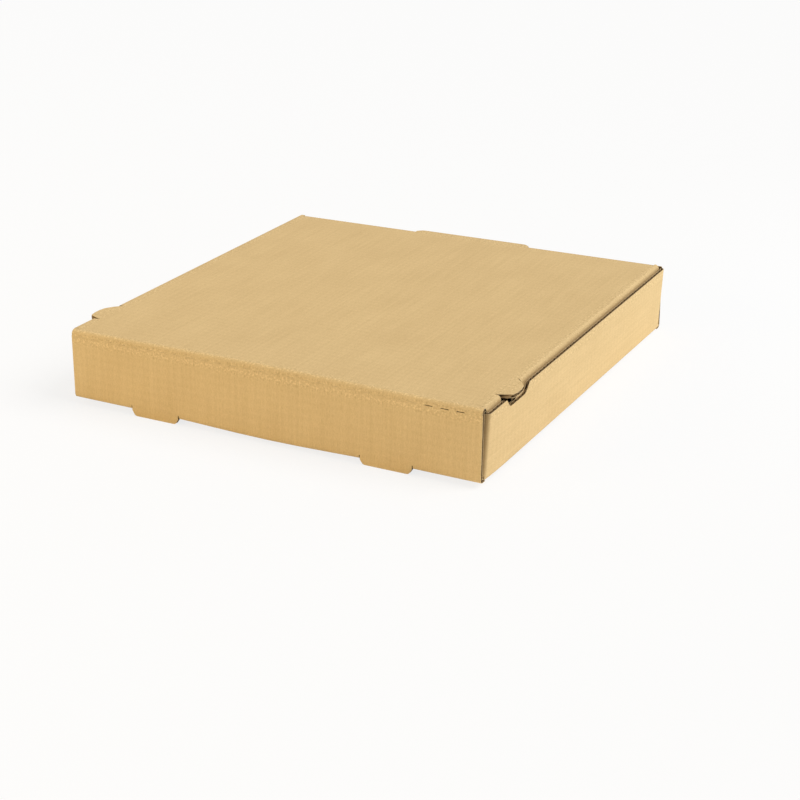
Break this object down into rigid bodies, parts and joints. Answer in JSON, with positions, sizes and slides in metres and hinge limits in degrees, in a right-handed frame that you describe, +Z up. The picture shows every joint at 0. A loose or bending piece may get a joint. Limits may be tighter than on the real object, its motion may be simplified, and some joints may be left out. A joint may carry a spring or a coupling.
{
  "type": "pizza box",
  "caption": "Shallow square take-away box folded from one sheet of brown corrugated board, with a hinged lid that opens over a tray.",
  "frame": {"origin": "on the ground under the middle of the box, level with the tips of the two rear tabs", "axes": "+X along the hinge, -Y towards the hinge wall, +Y towards the front wall, +Z up"},
  "size_m": [0.3802, 0.366, 0.0625],
  "materials": {
    "kraft_board": "matt brown kraft paper over corrugated medium"
  },
  "bodies": {
    "tray": {"tray": "kraft_board"},
    "lid": {"lid": "kraft_board"}
  },
  "joints": [
    {"name": "lid_hinge", "type": "hinge", "parent": "tray", "child": "lid", "pos_m": [0, -0.183, 0.0625], "axis": [1, 0, 0], "range_deg": [0, 180]}
  ]
}
